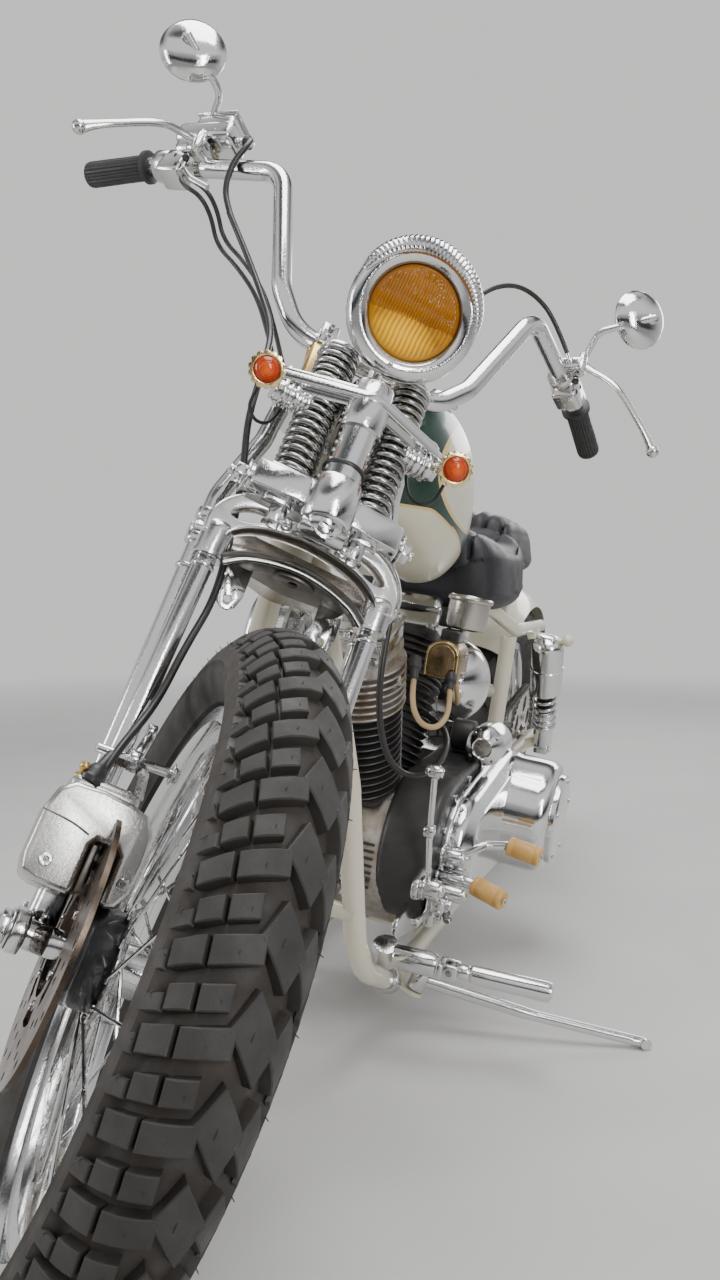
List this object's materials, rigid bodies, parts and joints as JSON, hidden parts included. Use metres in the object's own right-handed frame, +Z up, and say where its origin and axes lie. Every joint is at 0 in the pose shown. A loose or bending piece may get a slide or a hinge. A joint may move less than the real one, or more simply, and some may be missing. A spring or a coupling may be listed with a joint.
{
  "type": "chopper motorcycle",
  "caption": "Long custom motorcycle with a leading-link spring fork, wire wheels, finned V-twin engine and tall bars, leaning on its side stand.",
  "frame": {"origin": "on the ground, in the middle of the parked machine's box", "axes": "+Y along the machine from nose to tail, so the front faces -Y; +X towards the rider's left, the side it leans to; +Z up"},
  "size_m": [0.7814, 2.2564, 1.4128],
  "materials": {
    "tyre": "worn matt black rubber",
    "chrome": "bright chrome plate with light road dust",
    "polished": "hand-polished alloy",
    "black_paint": "gloss black",
    "green_paint": "gloss dark green with a cream panel and gold line",
    "cream_paint": "gloss cream",
    "black_engine": "satin black casting with polished edges",
    "steel": "turned and brushed",
    "disc": "ground, lightly scored",
    "leather": "dark tuck-and-roll leather",
    "rubber": "ribbed black rubber",
    "lens": "amber fluted glass",
    "tan": "caramel-coloured peg sleeves",
    "amber": "amber lens",
    "bronze": "bronze-brown cover",
    "mirror": "mirror glass and chrome bowl"
  },
  "bodies": {
    "chassis": {"frame": "cream_paint", "swingarm": "cream_paint", "rear_axle": "steel", "rear_shocks": "chrome", "cylinders": "black_engine", "cylinder_heads": "black_engine", "rocker_boxes": "polished", "crankcase": "black_engine", "gearbox": "black_engine", "primary_case": "polished", "primary_cover": "chrome", "starter_cap": "chrome", "oil_tank": "chrome", "canister": "chrome", "coil_box": "bronze", "fuel_tank": "green_paint", "seat": "leather", "rear_guard": "cream_paint", "exhaust_pipes": "chrome", "carburettor": "polished", "air_cleaner": "chrome", "highway_peg": "chrome", "foot_controls": "chrome", "peg_rubbers": "tan", "drive_chain": "steel"},
    "front_end": {"rigid_fork": "chrome", "spring_fork": "chrome", "top_bracket": "chrome", "fork_springs": "chrome", "fork_damper": "chrome", "rockers": "chrome", "front_axle": "steel", "fender_bracket": "chrome", "handlebar": "chrome", "risers": "chrome", "grips": "rubber", "hand_controls": "polished", "hand_levers": "polished", "mirrors": "mirror", "headlight_shell": "chrome", "headlight_lens": "lens", "turn_signals": "chrome", "signal_lenses": "amber", "brake_caliper": "polished", "brake_hose": "rubber"},
    "front_rolling": {"front_tyre": "tyre", "front_wheel": "chrome", "front_disc": "disc", "front_carrier": "black_paint"},
    "rear_rolling": {"rear_tyre": "tyre", "rear_wheel": "chrome", "rear_disc": "disc", "rear_sprocket": "steel"},
    "stand": {"side_stand": "chrome"}
  },
  "joints": [
    {"name": "steering", "type": "hinge", "parent": "chassis", "child": "front_end", "pos_m": [-0.06904, -0.76516, 0.28858], "axis": [0.1338, 0.5177, 0.845], "range_deg": [-72, 0]},
    {"name": "front_wheel_spin", "type": "hinge", "parent": "front_end", "child": "front_rolling", "pos_m": [-0.01413, -0.82399, 0.31593], "axis": [0.7515, 0.5029, -0.4271], "continuous": true},
    {"name": "rear_wheel_spin", "type": "hinge", "parent": "chassis", "child": "rear_rolling", "pos_m": [-0.06481, 0.78224, 0.31531], "axis": [0.9877, 0, -0.1564], "continuous": true},
    {"name": "side_stand_fold", "type": "hinge", "parent": "chassis", "child": "stand", "pos_m": [0.06243, -0.1916, 0.0831], "axis": [0.3959, 0.1442, 0.9069], "range_deg": [0, 80]}
  ]
}
